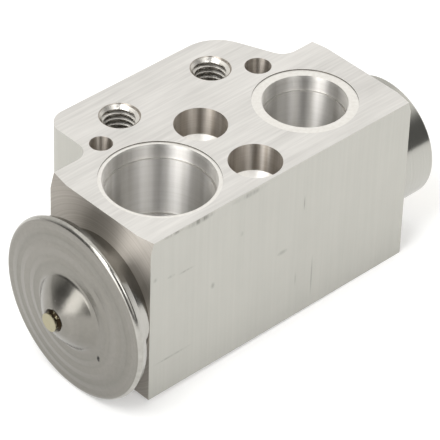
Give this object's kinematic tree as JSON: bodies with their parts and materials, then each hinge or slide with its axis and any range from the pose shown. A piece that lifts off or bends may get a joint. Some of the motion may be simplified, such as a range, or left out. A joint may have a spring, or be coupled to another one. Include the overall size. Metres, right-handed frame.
{
  "type": "expansion valve",
  "caption": "Block expansion valve: machined body with bolted ports, threaded ear, adjusting boss and a pressed power head with a rounded dome.",
  "frame": {"origin": "on the evaporator-side face, midway between the mounting screw holes", "axes": "+X along the valve axis from the power head to the boss, +Y towards the ear with the threaded holes, +Z from the evaporator side to the line side"},
  "size_m": [0.0703, 0.037, 0.0305],
  "materials": {
    "body_aluminium": "extruded and milled, satin",
    "head_steel": "pressed stainless steel, satin",
    "diaphragm_steel": "rolled, smooth",
    "plug_brass": "cut and soldered, dull",
    "seal_rubber": "moulded, matt",
    "stem_steel": "turned",
    "rod_aluminium": "turned",
    "ball_steel": "polished",
    "spring_steel": "drawn wire and strip",
    "screw_brass": "turned"
  },
  "bodies": {
    "block": {"valve_body": "body_aluminium", "power_head_cap": "head_steel", "power_head_shell": "head_steel", "diaphragm": "diaphragm_steel", "charge_plug": "plug_brass", "head_seal": "seal_rubber", "stem_seal": "seal_rubber", "stem_seal_retainer": "stem_steel", "orifice_seat": "stem_steel", "superheat_spring": "spring_steel"},
    "stem": {"diaphragm_pad": "stem_steel", "sensing_rod": "rod_aluminium", "push_pin": "stem_steel", "valve_ball": "ball_steel", "ball_carrier": "stem_steel", "vibration_spring": "spring_steel"},
    "screw_seal": {"adjusting_screw_seal": "seal_rubber"},
    "screw": {"adjusting_screw": "screw_brass"}
  },
  "joints": [
    {"name": "stem_lift", "type": "slide", "parent": "block", "child": "stem", "axis": [1, 0, 0], "range_m": [0, 0.0008], "stiffness_N_per_m": 13700, "deforming": ["diaphragm", "superheat_spring"]},
    {"name": "screw_travel", "type": "slide", "parent": "block", "child": "screw_seal", "axis": [1, 0, 0], "range_m": [-0.00098, 0.00098], "deforming": ["superheat_spring"]},
    {"name": "screw_turn", "type": "hinge", "parent": "screw_seal", "child": "screw", "pos_m": [0, 0, 0.0139], "axis": [1, 0, 0], "range_deg": [-355, 355]}
  ],
  "couplings": [
    {"joint": "screw_turn", "follows": "screw_travel", "rad_per_m": 6283.2}
  ]
}
